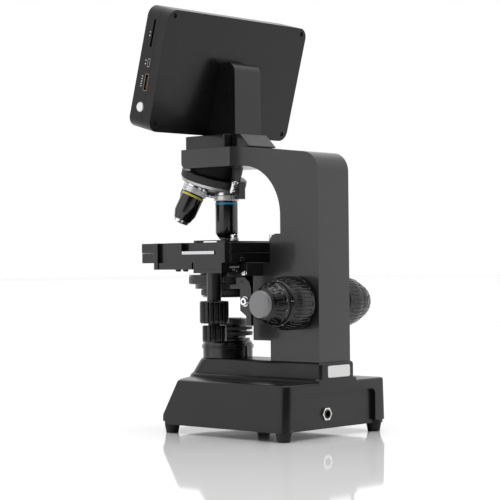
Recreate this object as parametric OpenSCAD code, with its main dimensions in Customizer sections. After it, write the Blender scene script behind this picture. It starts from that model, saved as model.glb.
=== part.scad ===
// Digital compound microscope: a stepped base with a built-in lamp, a C-shaped arm,
// a revolving four-objective nosepiece, a mechanical stage with a condenser under it,
// and a flat camera screen in place of eyepieces.
// Frame: origin at desk level on the plane of symmetry, rear_y in front of the base's
// rear edge, +Z up, -Y is the user's side, +Y is the rear, and the optical axis stands
// at y = axis_y. Millimetres.

/* [Base] */
// Width of the base at its foot
base_w = 141.4; // [130:0.2:150]
// Length of the base from front to rear
base_l = 177.5; // [172:0.5:184]
// How far the base's front bows forwards of its front corners
front_bow = 29; // [24:0.5:34]
// Height of the lower tier's top above the desk
base_top = 49; // [46:0.5:51]
// Width of the narrow upper tier
tier_w = 47.2; // [46:0.2:52]
// Height of the upper tier's top above the desk
tier_top = 66.3; // [65:0.1:67]
// Height of the rubber feet
foot_h = 8; // [6:0.5:9]
// Height of the power socket above the desk
socket_z = 21; // [19:0.5:26]

/* [Arm] */
// Thickness of the arm from side to side
arm_w = 42.2; // [40:0.2:44]
// Width of the head block over the nosepiece
head_w = 62; // [56:0.5:66]
// Height of the head's underside
head_z = 242.5; // [241:0.5:246]
// Height of the head's flat top
head_top = 260; // [258:0.5:261]
// Radius of the arch in the throat of the arm
arch_r = 46; // [42:0.5:46]
// Height of the focus knobs' axis
focus_z = 118.2; // [116:0.2:120]

/* [Screen] */
// Width of the screen housing
screen_w = 186; // [170:1:190]
// Height of the screen housing along its own face
screen_h = 111.3; // [100:0.1:114]
// Thickness of the screen housing
screen_t = 27.2; // [24:0.2:30]
// Backward tilt of the screen
screen_tilt = 15.7; // [12:0.1:18]

/* [Nosepiece] */
// Tilt of the nosepiece's turning axis from the vertical
nose_tilt = 18; // [16:0.5:18]
// Distance from the turning axis to an objective's axis
nose_pitch = 20; // [20:0.5:21]
// Distance from an objective's shoulder to its tip when parfocal
parfocal = 44.4; // [43:0.1:44.8]
// Radius of the nosepiece's grip rim
rim_r = 31; // [30:0.5:32]

/* [Stage] */
// Width of the stage plates
stage_w = 124; // [116:1:126]
// Length of the stage plates from front to rear
stage_l = 114; // [106:1:115]
// Height of the stage surface above the desk
stage_top = 172.6; // [171:0.1:172.8]
// Radius of the condenser's iris disc
iris_r = 35.7; // [32:0.1:36]
// Distance from the stage's middle to the coaxial drive's axis
drive_x = 57; // [55:0.5:58]

/* [Knobs] */
// Diameter of the coarse focus knobs at the arm
coarse_d = 47.6; // [46:0.2:48]
// Diameter of the fine focus knobs at their root
fine_d = 38.8; // [36:0.2:39]
// Diameter of the upper knob of the stage drive
drive_knob_d = 26; // [22:0.5:26]

/* [Hidden] */
$fn = 48;
e = 0.01;
gap = 0.2;                          // flat running gap between sliding plates
run = 0.05;                         // radial running clearance of shafts
axis_y = -37;                       // the optical axis
rear_y = 96.5;
front_y = rear_y - base_l;
plate_z = foot_h;                   // underside of the base's bottom plate
plate_t = 3;
lip_z = 17;                         // the base's front slopes back above this height
front_slope = 0.578;                // run over rise of the sloped front
draft = 0.037;                      // inward lean of the base's sides
base_wall = 3;
corner_r = 8;
edge_r = 2;                         // rounding of the lower tier's top edge
tier_r = 2.8;                       // rounding of the upper tier's top edge
tier_front = -75.5;                 // upper tier's front at its foot
step_h = 3;
foot_x = base_w/2 - 9;
screw_x = base_w/2 - 7.2;
foot_rear = rear_y - 9.5;
foot_front = -49;
socket_x = 12;
recess_w = 105;
recess_top = 40;
recess_d = 4;
dial_y = 6;
dial_z = 31;
arm_rear = 93.4;
block_y = 36.1;                     // front of the arm's lower block
block_top = 180;
column_y = 48.9;                    // front of the arm's column
arch_y = column_y - arch_r;
head_front = -69;
head_rear = -3;
top_slope = 6.4;
slope_y = 5;
rear_r = 17.5;
fillet_r = 44.5;
focus_y = 68.4;
mech_z0 = 76;
mech_z1 = 174;
slot_w = 26;
pinion_m = 0.8;                     // gear module of the focus rack
pinion_n = 15;
pitch_r = pinion_m*pinion_n/2;
shaft_r = 4;
axle_r = 2;
adapter_top = 272.4;
screen_y = -45.13;                  // lower rear edge of the screen housing
screen_z = 272.9;
screen_wall = 2.5;
split_y = -11.5;                    // parting line between the screen's two shells
nose_y = axis_y - nose_pitch*cos(nose_tilt);
nose_z = stage_top + 2 + parfocal + nose_pitch*sin(nose_tilt);
thread_r = 10.1;
bore_r = 3.6;                       // light path through an objective
tip_r = 6.6;                        // sliding front end of the strong objectives
cone = tan(nose_tilt);              // rise of the nosepiece's coned underside
plate_h = 8.9;                      // thickness of each stage plate
lower_top = stage_top - plate_h - gap;
lower_z = lower_top - plate_h - 0.1;
stage_rear = 25;
rail_w = 6;
rail_front = -48;                   // front end of the rail behind its post
rail_z = lower_z - 6;
drive_y = 1;
drive_knob_z = 100.3;
carriage_z = 84;
finger_x = 44;                      // pivot of the slide holder's sprung finger
holder_h = 1.2;                     // thickness of the slide holder
holder_x = [-20, 31.7];             // the slide holder's two screws
iris_z = 134.8;
iris_h = 8.6;
lamp_r = 23.3;
lamp_top = 101.7;

// ---------- shared shapes and places ----------

// Flat rectangle with round corners, centred.
module rrect(w, h, r) {
    square([w - 2*r, h], center = true);
    square([w, h - 2*r], center = true);
    for (x = [-1, 1], y = [-1, 1])
        translate([x*(w/2 - r), y*(h/2 - r)]) circle(r);
}

// Extrudes a Y-Z outline to both sides of x = 0.
module side_extrude(w) {
    rotate([90, 0, 90]) linear_extrude(w, center = true) children();
}

// Tube along +Z.
module tube(ro, ri, h) {
    difference() {
        cylinder(r = ro, h = h);
        translate([0, 0, -1]) cylinder(r = ri, h = h + 2);
    }
}

module at_axis(z = 0) {
    translate([0, axis_y, z]) children();
}

// Along +X from the focus shaft's axis.
module at_focus(x = 0) {
    translate([x, focus_y, focus_z]) rotate([0, 90, 0]) children();
}

// The screen's own frame: y = 0 on its rear face, z = 0 on its lower edge.
module on_screen() {
    translate([0, screen_y, screen_z]) rotate([-screen_tilt, 0, 0]) children();
}

// The nosepiece's frame: z = 0 is the plane through the objectives' shoulders.
module on_nosepiece() {
    translate([0, nose_y, nose_z]) rotate([-nose_tilt, 0, 0]) children();
}

// Place of objective k, counted from the one in use; its tip points along -Z.
module on_port(k) {
    on_nosepiece() rotate([0, 0, -90*k]) translate([0, nose_pitch, 0])
        rotate([nose_tilt, 0, 0]) children();
}

// ---------- base ----------

function front_at(z) = front_y + max(0, z - lip_z)*front_slope;
function bow_radius(hw, bow) = (hw*hw + bow*bow)/(2*bow);
function half_at(z) = base_w/2 - (z - plate_z)*draft;
function arc_pts(c, r, a0, a1, n) = [for (i = [0:n]) let(a = a0 + (a1 - a0)*i/n)
    c + r*[cos(a), sin(a)]];

// A level ring of points: front bowed forwards by bow, square rear with corners of radius r.
function ring(z, hw, rear, front, r, bow) = let(
    bow_r = bow_radius(hw, bow),
    a = asin(min(1, hw/bow_r))) [
    for (p = concat(arc_pts([0, front + bow_r], bow_r, 270 - a, 270 + a, 44),
                    arc_pts([hw - r, rear - r], r, 0, 90, 6),
                    arc_pts([r - hw, rear - r], r, 90, 180, 6))) [p[0], p[1], z]];
function lower_ring(z, inset = 0, rear_inset = 0) =
    ring(z, half_at(z) - inset, rear_y - inset - rear_inset, front_at(z) + inset, corner_r - inset,
         front_bow);
function tier_ring(z, hw, inset = 0) =
    ring(z, hw - inset, rear_y - inset, tier_front + (z - base_top)*0.8 + inset, 3.5 - min(inset, 3),
         hw - inset);
// Angles of the steps that round a top edge.
rim = [0, 30, 60, 90];

// Closed body through a stack of rings that all have the same number of points.
module loft(rings) {
    n = len(rings[0]);
    m = len(rings);
    polyhedron(points = [for (r = rings) for (p = r) p], faces = concat(
        [[for (i = [0:n - 1]) i], [for (i = [n - 1:-1:0]) (m - 1)*n + i]],
        [for (k = [0:m - 2], i = [0:n - 1]) let(j = (i + 1)%n)
            [k*n + i, (k + 1)*n + i, (k + 1)*n + j]],
        [for (k = [0:m - 2], i = [0:n - 1]) let(j = (i + 1)%n)
            [k*n + i, (k + 1)*n + j, k*n + j]]));
}

module base_housing() color([0.12, 0.12, 0.13]) difference() {
    union() {
        difference() {
            union() {
                loft(concat([lower_ring(plate_z + plate_t), lower_ring(lip_z)],
                    [for (a = rim) lower_ring(base_top - edge_r*(1 - sin(a)),
                                              edge_r*(1 - cos(a)))]));
                loft([tier_ring(base_top - 5, tier_w/2 + 4.5),
                      tier_ring(base_top + step_h - 1, tier_w/2 + 4.5),
                      tier_ring(base_top + step_h, tier_w/2 + 4.5, 1)]);
                loft(concat([tier_ring(base_top - 4, tier_w/2)],
                    [for (a = rim) tier_ring(tier_top - tier_r*(1 - sin(a)), tier_w/2,
                                             tier_r*(1 - cos(a)))]));
            }
            loft([lower_ring(plate_z, base_wall, 5.5), lower_ring(lip_z, base_wall, 5.5),
                  lower_ring(base_top - base_wall, base_wall, 5.5)]);
            loft([tier_ring(base_top - 6, tier_w/2 - base_wall, 0.5),
                  tier_ring(tier_top - base_wall, tier_w/2 - base_wall, base_wall)]);
        }
        for (s = [-1, 1], y = [foot_front + 12, foot_rear - 12])
            translate([s*screw_x, y, plate_z + plate_t]) cylinder(r = 4, h = 14);
    }
    // rear socket panel
    translate([0, rear_y - recess_d, 0]) rotate([-90, 0, 0]) linear_extrude(recess_d + 1) {
        translate([0, -10]) square([recess_w, 50], center = true);
        translate([0, -recess_top + 10]) rrect(recess_w, 20, 5);
    }
    translate([socket_x, rear_y, socket_z]) rotate([90, 0, 0]) cylinder(r = 4.1, h = 20);
    // screw holes, the lamp's and the arm's cable holes, the dial's hole
    for (s = [-1, 1], y = [foot_front + 12, foot_rear - 12])
        translate([s*screw_x, y, plate_z]) cylinder(r = 1.5, h = 14);
    at_axis(tier_top - 6) cylinder(r = 14, h = 10);
    translate([0, focus_y, tier_top - 6]) cylinder(r = 6, h = 10);
    translate([-base_w/2 - 1, dial_y, dial_z]) rotate([0, 90, 0]) cylinder(r = 3 + run, h = 12);
}

module base_bottom_plate() color([0.16, 0.16, 0.17]) difference() {
    translate([0, 0, plate_z]) linear_extrude(plate_t) {
        hw = base_w/2 - 1.2;
        bow_r = bow_radius(hw, front_bow);
        intersection() {
            translate([0, front_y + 1.2 + bow_r]) circle(bow_r, $fn = 144);
            translate([-hw, front_y]) square([2*hw, front_bow + 10]);
        }
        translate([-hw, front_y + 1.2 + front_bow])
            square([2*hw, rear_y - front_y - 2.4 - front_bow - corner_r]);
        translate([-hw + corner_r, 0]) square([2*(hw - corner_r), rear_y - recess_d - 1.2]);
        for (s = [-1, 1])
            translate([s*(hw - corner_r), rear_y - 1.2 - corner_r]) circle(corner_r);
    }
    for (s = [-1, 1], y = [foot_front + 12, foot_rear - 12])
        translate([s*screw_x, y, plate_z - 1]) {
            cylinder(r = 1.55, h = plate_t + 2);
            cylinder(r = 3.1, h = 2.2);
        }
}

module rubber_feet() color([0.05, 0.05, 0.05])
    for (s = [-1, 1], y = [foot_front, foot_rear])
        translate([s*foot_x, y, 0]) difference() {
            cylinder(r1 = 5.5, r2 = 7, h = foot_h);
            translate([0, 0, -1]) cylinder(r = 2.2, h = 4);
        }

module base_screws() color([0.7, 0.7, 0.72])
    for (s = [-1, 1], y = [foot_front + 12, foot_rear - 12])
        translate([s*screw_x, y, plate_z]) {
            cylinder(r = 1.45, h = 12);
            cylinder(r = 2.9, h = 1.1);
        }

module power_socket() color([0.08, 0.08, 0.08])
    translate([socket_x, rear_y - recess_d, socket_z]) rotate([90, 0, 0]) difference() {
        union() {
            translate([0, 0, -2.5]) cylinder(r = 4, h = 14);
            translate([0, 0, base_wall + 1.7]) cylinder(r = 5.5, h = 4);
        }
        translate([0, 0, -3]) cylinder(r = 2.75, h = 9.5);
    }

module power_socket_nut() color([0.78, 0.78, 0.8])
    translate([socket_x, rear_y - recess_d, socket_z]) rotate([-90, 0, 0]) difference() {
        cylinder(r = 6.2, h = 2, $fn = 6);
        translate([0, 0, -1]) cylinder(r = 4.02, h = 4);
    }

module rating_plate() color([0.9, 0.9, 0.9])
    translate([-1.5, rear_y + 0.35, (base_top + step_h + tier_top)/2 - 1.1]) rotate([90, 0, 0])
        linear_extrude(0.35) rrect(30, 10.4, 1.8);

module led_module() color([0.85, 0.85, 0.8]) at_axis(tier_top + 0.4) {
    cylinder(r = 15, h = 1.6);
    translate([0, 0, 1.6]) cylinder(r = 4, h = 1.8);
}

module power_board() color([0.1, 0.35, 0.2]) {
    translate([-30, 30, 14]) cube([60, 45, 1.6]);
    for (x = [-20, 2]) translate([x, 40, 15.6]) cube([12, 16, 8]);
}

module brightness_dial() color([0.1, 0.1, 0.1])
    translate([-base_w/2 + 0.2, dial_y, dial_z]) rotate([0, -90, 0]) {
        cylinder(r = 9, h = 7);
        translate([0, 0, -10]) cylinder(r = 3, h = 11);
    }

// ---------- arm and head ----------

// Side outline of the arm and head, y across and z up.
module arm_side() difference() {
    union() {
        translate([column_y, tier_top]) square([arm_rear - column_y, head_top - tier_top]);
        translate([block_y, tier_top]) square([column_y - block_y + 1, block_top - 8 - tier_top]);
        translate([block_y + 8, block_top - 8]) circle(8);
        translate([block_y + 8, block_top - 8]) square([column_y - block_y, 8]);
        translate([head_front, head_z]) square([arm_rear - head_front, head_top - head_z]);
        difference() {
            translate([arch_y, head_z - arch_r]) square([arch_r + 2, arch_r + 1]);
            translate([arch_y, head_z - arch_r]) circle(arch_r, $fn = 96);
        }
    }
    translate([slope_y, head_top]) rotate(-top_slope) square([140, 40]);
    translate([arm_rear - rear_r,
               head_top - (arm_rear - rear_r - slope_y)*tan(top_slope)
               - rear_r/cos(top_slope)]) difference() {
        polygon([[0, 0], 3*rear_r*[sin(top_slope), cos(top_slope)], [60, 60], [60, 0]]);
        circle(rear_r, $fn = 96);
    }
    polygon([[head_front - 1, head_z - 1], [head_front - 1, head_z + 7],
             [head_front, head_z + 7], [head_front + 7, head_z], [head_front + 7, head_z - 1]]);
}

// Plan of the head: a block that flows back into the narrower arm.
module head_plan() {
    translate([-head_w/2, head_front + 6]) square([head_w, head_rear - head_front - 6]);
    translate([-head_w/2 + 6, head_front]) square([head_w - 12, 8]);
    for (s = [-1, 1]) {
        translate([s*(head_w/2 - 6), head_front + 6]) circle(6);
        difference() {
            translate([s*(head_w + arm_w)/4 - (head_w - arm_w)/4, head_rear - 1])
                square([(head_w - arm_w)/2, 29]);
            translate([s*(arm_w/2 + fillet_r), 25.2]) circle(fillet_r, $fn = 96);
        }
    }
    translate([-arm_w/2, head_rear - 1]) square([arm_w, 34]);
}

module arm() color([0.13, 0.13, 0.14]) difference() {
    intersection() {
        side_extrude(head_w + 10) arm_side();
        union() {
            translate([-arm_w/2, head_rear - 1, tier_top - 1])
                cube([arm_w, arm_rear - head_rear + 2, head_top]);
            translate([0, 0, head_z - 1]) linear_extrude(head_top - head_z + 3) head_plan();
        }
    }
    // hollow for the focus mechanism, open at the front
    translate([-14, 54, tier_top - 1]) cube([28, 32, 166]);
    translate([-slot_w/2, block_y - 1, mech_z0]) cube([slot_w, 20, mech_z1 - mech_z0]);
    at_focus(-head_w) cylinder(r = 7, h = 2*head_w);
    at_axis(head_z - 1) cylinder(r = 10, h = 30);
}

module focus_guide() color([0.75, 0.76, 0.78])
    for (s = [-1, 1])
        translate([s*(slot_w/2 - 1.9) - 1.85, block_y + 1.5, mech_z0])
            cube([3.7, 14, mech_z1 - mech_z0]);

module focus_bushings() color([0.75, 0.6, 0.3])
    for (s = [0, 1]) mirror([s, 0, 0]) at_focus(14) difference() {
        union() {
            cylinder(r = 6.98, h = arm_w/2 - 13.2);
            translate([0, 0, arm_w/2 - 14]) cylinder(r = 9, h = 0.8);
        }
        translate([0, 0, -1]) cylinder(r = shaft_r + run, h = 20);
    }

module head_adapter() color([0.14, 0.14, 0.15]) difference() {
    union() {
        translate([0, -38.5, head_top]) linear_extrude(adapter_top - head_top) rrect(54, 55, 5);
        side_extrude(36) polygon([[-12, head_top], [9.5, head_top], [9.5, head_top + 1],
                                  [-1.9, adapter_top], [-12, adapter_top]]);
    }
    translate([-20, -57, head_top - 1]) cube([40, 40, 10]);
}

module relay_lens() color([0.5, 0.55, 0.6]) at_axis(head_z + 1) difference() {
    cylinder(r = 9.9, h = head_top - head_z - 1.2);
    translate([0, 0, -1]) cylinder(r = 6, h = 12);
}

module camera_module() color([0.1, 0.35, 0.2]) at_axis(head_top + 0.2) {
    translate([-17, -17, 0]) cube([34, 34, 1.6]);
    translate([-8, -8, 1.6]) cube([16, 16, 4]);
}

// ---------- screen ----------

module screen_bracket() color([0.13, 0.13, 0.14]) {
    rear = -8.5;
    high = 339;
    drop = (high - screen_z)*tan(screen_tilt);
    side_extrude(35) difference() {
        polygon([[screen_y + 0.4, adapter_top], [rear, adapter_top], [rear, high],
                 [screen_y + drop, high], [screen_y, screen_z]]);
        translate([rear - 9, high - 9]) difference() {
            square([20, 20]);
            circle(9);
        }
    }
}

// Block in the screen's frame with round corners seen from the front.
module screen_block(w, h, r, y0, y1, z0 = 0) {
    translate([0, y1, z0 + h/2]) rotate([90, 0, 0]) linear_extrude(y1 - y0) rrect(w, h, r);
}

module screen_back_shell() color([0.15, 0.15, 0.16]) on_screen() difference() {
    screen_block(screen_w, screen_h, 10, split_y, 0);
    screen_block(screen_w - 2*screen_wall, screen_h - 2*screen_wall, 8,
                 split_y - 1, -screen_wall, screen_wall);
    for (s = [-1, 1], z = [7, screen_h - 5.5])
        translate([s*85.5, 1, z]) rotate([90, 0, 0]) cylinder(r = 1.6, h = 10);
    for (s = [-1, 1], z = [7, screen_h - 5.5])
        translate([s*85.5, 1, z]) rotate([90, 0, 0]) cylinder(r = 2.2, h = 2.6);
}

module screen_front_bezel() color([0.13, 0.13, 0.14]) on_screen() difference() {
    screen_block(screen_w, screen_h, 10, -screen_t, split_y);
    screen_block(screen_w - 2*screen_wall, screen_h - 2*screen_wall, 8,
                 -screen_t + 3, split_y + 1, screen_wall);
    screen_block(158, 90, 2, -screen_t - 1, 0, 11);
    // side openings for the card, the connectors and the button
    translate([88, -17.5, 74]) cube([10, 2.4, 25]);
    translate([88, -16.4, 56]) cube([10, 3.2, 8]);
    translate([88, -16.3, 34.5]) cube([10, 5, 15.6]);
    translate([88, -15.6, 19.4]) rotate([0, 90, 0]) cylinder(r = 4.2, h = 10);
}

module screen_panel() color([0.04, 0.05, 0.07]) on_screen()
    translate([-82, -screen_t + 3.1, 8]) cube([164, 4, 96]);

module screen_board() color([0.1, 0.35, 0.2]) on_screen() {
    translate([-60, -9, 10]) cube([146, 1.6, 90]);
    translate([-20, -13, 40]) cube([30, 4, 30]);
}

module screen_screws() color([0.2, 0.2, 0.21]) on_screen()
    for (s = [-1, 1], z = [7, screen_h - 5.5])
        translate([s*85.5, -1, z]) rotate([90, 0, 0]) {
            cylinder(r = 2, h = 0.55);
            cylinder(r = 1.5, h = 9);
        }

module screen_ports() color([0.75, 0.75, 0.77]) on_screen() {
    translate([82, -17.3, 74.3]) cube([8, 2, 24.4]);
    for (port = [[-16.2, 56.2, 2.8, 7.6], [-16.1, 34.7, 4.6, 15.2]])
        translate([84, port[0], port[1]]) difference() {
            cube([8.7, port[2], port[3]]);
            translate([3, 0.5, 0.5]) cube([8, port[2] - 1, port[3] - 1]);
        }
}

module screen_button() color([0.85, 0.85, 0.86]) on_screen()
    translate([screen_w/2 - 5, -15.6, 19.4]) rotate([0, 90, 0]) cylinder(r = 3.9, h = 6);

// ---------- nosepiece and objectives ----------

module nosepiece_mount() color([0.1, 0.1, 0.1]) difference() {
    on_nosepiece() translate([0, 0, 14]) cylinder(r = 25, h = 34);
    translate([-60, -140, head_z]) cube([120, 160, 60]);
    at_axis(head_z - 30) cylinder(r = 9, h = 60);
    on_nosepiece() cylinder(r = 4, h = 60);
}

module nosepiece_pivot() color([0.7, 0.7, 0.72]) on_nosepiece() {
    translate([0, 0, -8.5]) cylinder(r = 6.5, h = 2.3);
    translate([0, 0, -7]) cylinder(r = 4 - e, h = 24);
}

// Stem under the head with a leaf spring that clicks on the turret's rim, and a guard.
module nosepiece_detent() color([0.12, 0.12, 0.12]) {
    difference() {
        union() {
            translate([1, -23.8, 227]) cube([5, 4, head_z - 227]);
            translate([-6, -25, 213.5]) cube([8, 6.5, 16]);
        }
        on_nosepiece() cylinder(r = rim_r + 0.6, h = 14.4);
        on_nosepiece() translate([0, 0, -20]) cylinder(r = rim_r + 3, h = 23);
    }
    on_nosepiece() translate([1.5, rim_r + 0.4, 4]) cube([8, 1.2, 11.5]);
}
module nosepiece_turret() color([0.14, 0.14, 0.14]) difference() {
    on_nosepiece() rotate_extrude($fn = 96) polygon([
        [shaft_r + run, -6], [8, -6], [8, (8 - nose_pitch)*cone],
        [rim_r - 1.5, (rim_r - 1.5 - nose_pitch)*cone], [rim_r - 1, 6.2], [rim_r, 6.6],
        [rim_r, 12.8], [rim_r - 0.8, 13.6], [shaft_r + run, 13.6]]);
    for (k = [0:3]) on_port(k) translate([0, 0, -6]) cylinder(r = thread_r + run, h = 40);
}

// Objective with its shoulder at z = 0; parts are lengths down from the shoulder.
// ring_r, ring_l: knurled ring. body_r, body_l: barrel. tip_r, total: coned end.
// mouth_r, mouth_l: recess in the end that a spring-loaded tip slides in.
module objective(ring_r, ring_l, body_r, body_l, tip_r, total, mouth_r, mouth_l) {
    rotate([180, 0, 0]) rotate_extrude(convexity = 4) polygon([
        [bore_r, -4], [thread_r, -4], [thread_r, 0], [ring_r, 0], [ring_r, ring_l],
        [body_r, ring_l], [body_r, body_l], [tip_r, total - 2], [tip_r, total],
        [mouth_r, total], [mouth_r, total - mouth_l], [bore_r, total - mouth_l]]);
}

module objective_4x() color([0.08, 0.08, 0.08]) on_port(2)
    objective(11.6, 7, 10.5, 17, 8, 27, 5, 2);
module objective_10x() color([0.08, 0.08, 0.08]) on_port(1)
    objective(11.6, 7, 10.5, 27, 7, 37, 4.6, 2);
module objective_40x() color([0.08, 0.08, 0.08]) on_port(0)
    objective(11.6, 7, 10.5, parfocal - 7, 7.6, parfocal - 2.2, tip_r + 0.1, 5);
module objective_100x() color([0.08, 0.08, 0.08]) on_port(3)
    objective(11.6, 7, 10.5, parfocal - 7, 7.6, parfocal - 2.2, tip_r + 0.1, 5);

// Spring-loaded front end that slides up into the barrel.
module objective_tip() translate([0, 0, -parfocal]) difference() {
    union() {
        cylinder(r1 = 4.2, r2 = tip_r, h = 2);
        translate([0, 0, 2]) cylinder(r = tip_r, h = 1.4);
        cylinder(r = bore_r - 0.08, h = 10);
    }
    translate([0, 0, -1]) cylinder(r = 1.6, h = 12);
}

module objective_40x_tip() color([0.8, 0.8, 0.82]) on_port(0) objective_tip();
module objective_100x_tip() color([0.8, 0.8, 0.82]) on_port(3) objective_tip();

// ---------- focus drive ----------

module focus_carriage() color([0.13, 0.13, 0.14]) {
    z1 = lower_z;
    rear = block_y - 0.4;
    difference() {
        translate([-20, 14, carriage_z]) cube([40, rear - 14, z1 - carriage_z]);
        translate([-21, 18, 110]) rotate([0, 90, 0]) cylinder(r = axle_r + run, h = 7);
    }
    // tongue through the arm's slot, between the guides
    translate([-9, block_y - 0.5, carriage_z + 6]) cube([18, 14.4, z1 - carriage_z - 6]);
    // shelf that carries the stage
    translate([-42, -4, z1 - 9]) cube([84, block_y - 4.4, 9]);
    for (s = [-1, 1]) translate([s*31 - 12, 4, z1 - 12.2]) cube([24, block_y - 12.4, 5]);
    for (s = [-1, 1]) translate([s*40 - 4, -60, z1 - 5]) cube([8, 70, 5]);
    translate([-44, 2, z1 - 5]) cube([88, 8, 5]);
    // guide of the condenser's slide
    translate([-8, 7.6, 96]) cube([16, 6.5, z1 - 96]);
}

// Straight rack with its pitch line one pitch radius in front of the pinion's axis.
module focus_rack() color([0.72, 0.72, 0.74]) {
    p = PI*pinion_m;
    y = focus_y - pitch_r;
    n = 18;
    half = p/4 - 0.12;
    side_extrude(10) union() {
        translate([50, focus_z - n*p/2 - 1]) square([y - 0.9*pinion_m - 50, n*p + 2]);
        for (i = [0:n - 1])
            translate([y, focus_z + (i - (n - 1)/2)*p])
                polygon([[-1*pinion_m, -half - 0.29], [0.75*pinion_m, -half + 0.22],
                         [0.75*pinion_m, half - 0.22], [-1*pinion_m, half + 0.29]]);
    }
}

// One tooth flank of the pinion: radius and half width of the tooth there.
function flank(i) = let(rb = pitch_r*cos(20)) rb + i*(pitch_r + 0.75*pinion_m - rb)/5;
function inv(a) = tan(a)*180/PI - a;
function half_angle(r) = let(rb = pitch_r*cos(20), a = acos(min(1, rb/r)))
    90/pinion_n - 2.2 + inv(20) - inv(a);
function tooth(t) = concat(
    [for (i = [0:5]) let(r = flank(i)) r*[cos(t - half_angle(r)), sin(t - half_angle(r))]],
    [for (i = [5:-1:0]) let(r = flank(i)) r*[cos(t + half_angle(r)), sin(t + half_angle(r))]]);

module focus_pinion() color([0.72, 0.72, 0.74]) difference() {
    union() {
        at_focus(-6) linear_extrude(12) union() {
            circle(pitch_r - 1.05*pinion_m);
            for (i = [0:pinion_n - 1])
                polygon(concat([[0, 0]], tooth((i + 0.5)*360/pinion_n + 90)));
        }
        at_focus(-49) cylinder(r = shaft_r, h = 98);
    }
    at_focus(-60) cylinder(r = axle_r + run, h = 120);
}

// Coarse knob: a drum on the hollow shaft, narrower towards its outer end.
module coarse_knob() at_focus(22.1) rotate_extrude($fn = 72) polygon([
    [shaft_r, 0], [coarse_d/2 - 2.5, 0], [coarse_d/2, 2.5], [coarse_d/2, 15],
    [coarse_d/2 - 1.6, 22], [coarse_d/2 - 2.8, 28.2], [coarse_d/2 - 3.8, 29], [shaft_r, 29]]);

// Fine knob: a drum that narrows to a flat end, or to a neck with a cap on it.
module fine_knob(end) at_focus(51.4) rotate_extrude($fn = 72) polygon(concat([
    [axle_r, 0], [fine_d/2 - 0.8, 0], [fine_d/2, 0.8], [fine_d/2 - 0.8, 4.6],
    [fine_d/2 - 2.4, 8.6], [fine_d/2 - 4.8, 13]], end));
plain_end = [[13.2, 14], [12.2, 14.4], [axle_r, 14]];
cap_end = [[13, 14.6], [11.4, 15], [11.4, 15.8], [12.1, 16], [12.1, 19.4], [11.6, 19.8],
           [axle_r, 19.4]];

module coarse_knob_right() color([0.1, 0.1, 0.1]) coarse_knob();
module coarse_knob_left() color([0.1, 0.1, 0.1]) mirror([1, 0, 0]) coarse_knob();
module fine_knob_right() color([0.12, 0.12, 0.12]) fine_knob(cap_end);
module fine_knob_left() color([0.12, 0.12, 0.12]) mirror([1, 0, 0]) fine_knob(plain_end);
module fine_axle() color([0.72, 0.72, 0.74]) at_focus(-64) cylinder(r = axle_r, h = 130);

// ---------- stage ----------

module stage_outline(w) translate([0, stage_rear - stage_l/2]) rrect(w, stage_l, 3);

module stage_lower_plate() color([0.12, 0.12, 0.13]) difference() {
    translate([0, 0, lower_z]) linear_extrude(lower_top - lower_z) stage_outline(stage_w - 0.6);
    at_axis(lower_z - 1) cylinder(r = 24, h = 20);
}

module stage_upper_plate() color([0.12, 0.12, 0.13]) difference() {
    translate([0, 0, stage_top - plate_h]) linear_extrude(plate_h) stage_outline(stage_w);
    for (y = [-46, -17]) translate([0, y, lower_top - 1]) cylinder(r = 14, h = 20);
    translate([-14, -46, lower_top - 1]) cube([28, 29, 20]);
}

module stage_side_rail() color([0.13, 0.13, 0.14]) difference() {
    union() {
        translate([stage_w/2, rail_front, lower_z])
            cube([rail_w, stage_rear - rail_front, stage_top - lower_z]);
        translate([stage_w/2, -14, rail_z]) cube([rail_w, 35, 6.1]);
        translate([stage_w/2, rail_front - 12.1, rail_z]) cube([rail_w - 1, 43.1, 6.1]);
        // thin link to the rounded post at the front end
        translate([stage_w/2, rail_front - 12.1, rail_z])
            cube([2.5, 12.2, stage_top - rail_z]);
        translate([stage_w/2, rail_front - 20, rail_z])
            linear_extrude(stage_top - rail_z) intersection() {
                square([rail_w, 8]);
                union() {
                    translate([rail_w - 5, 5]) circle(5);
                    square([rail_w - 5, 8]);
                    translate([0, 4.9]) square([rail_w, 3.1]);
                }
            }
    }
    translate([stage_w/2 + 1, -29, lower_top - 1.6]) cube([rail_w, 43, 12]);
}

module stage_rack_strip() color([0.7, 0.7, 0.72])
    translate([stage_w/2 + rail_w - 1.6, -28.8, lower_top - 1.4]) cube([1.4, 40.6, 2.8]);

module stage_gearbox() color([0.11, 0.11, 0.12]) difference() {
    union() {
        translate([45, -14, 145.2]) cube([stage_w/2 - 45, 35, lower_z - gap - 145.2]);
        translate([45, -14, 145.2]) cube([stage_w/2 + rail_w - 45, 35, rail_z - 145.2]);
        translate([drive_x, drive_y, 120.4]) cylinder(r = 6.35, h = 25);
    }
    translate([drive_x, drive_y, 119]) cylinder(r = 3 + run, h = 33);
}

// Ribbed knob: a drum with a ring of half-round grooves.
module fluted(d, h, n) difference() {
    cylinder(r = d/2, h = h);
    for (i = [0:n - 1]) rotate([0, 0, i*360/n]) translate([d/2 + 0.4, 0, -1])
        cylinder(r = 1.2, h = h + 2, $fn = 16);
}

module stage_knob_y() color([0.1, 0.1, 0.1]) translate([drive_x, drive_y, drive_knob_z])
    difference() {
        union() {
            fluted(drive_knob_d, 19.8, 24);
            cylinder(r = 3, h = 48);
        }
        translate([0, 0, -1]) cylinder(r = axle_r + run, h = 60);
    }

module stage_knob_x() color([0.1, 0.1, 0.1]) translate([drive_x, drive_y, 83.7]) {
    fluted(21.5, 14.8, 20);
    cylinder(r = 5.5, h = 16.4);
    cylinder(r = axle_r, h = 66);
}

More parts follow.
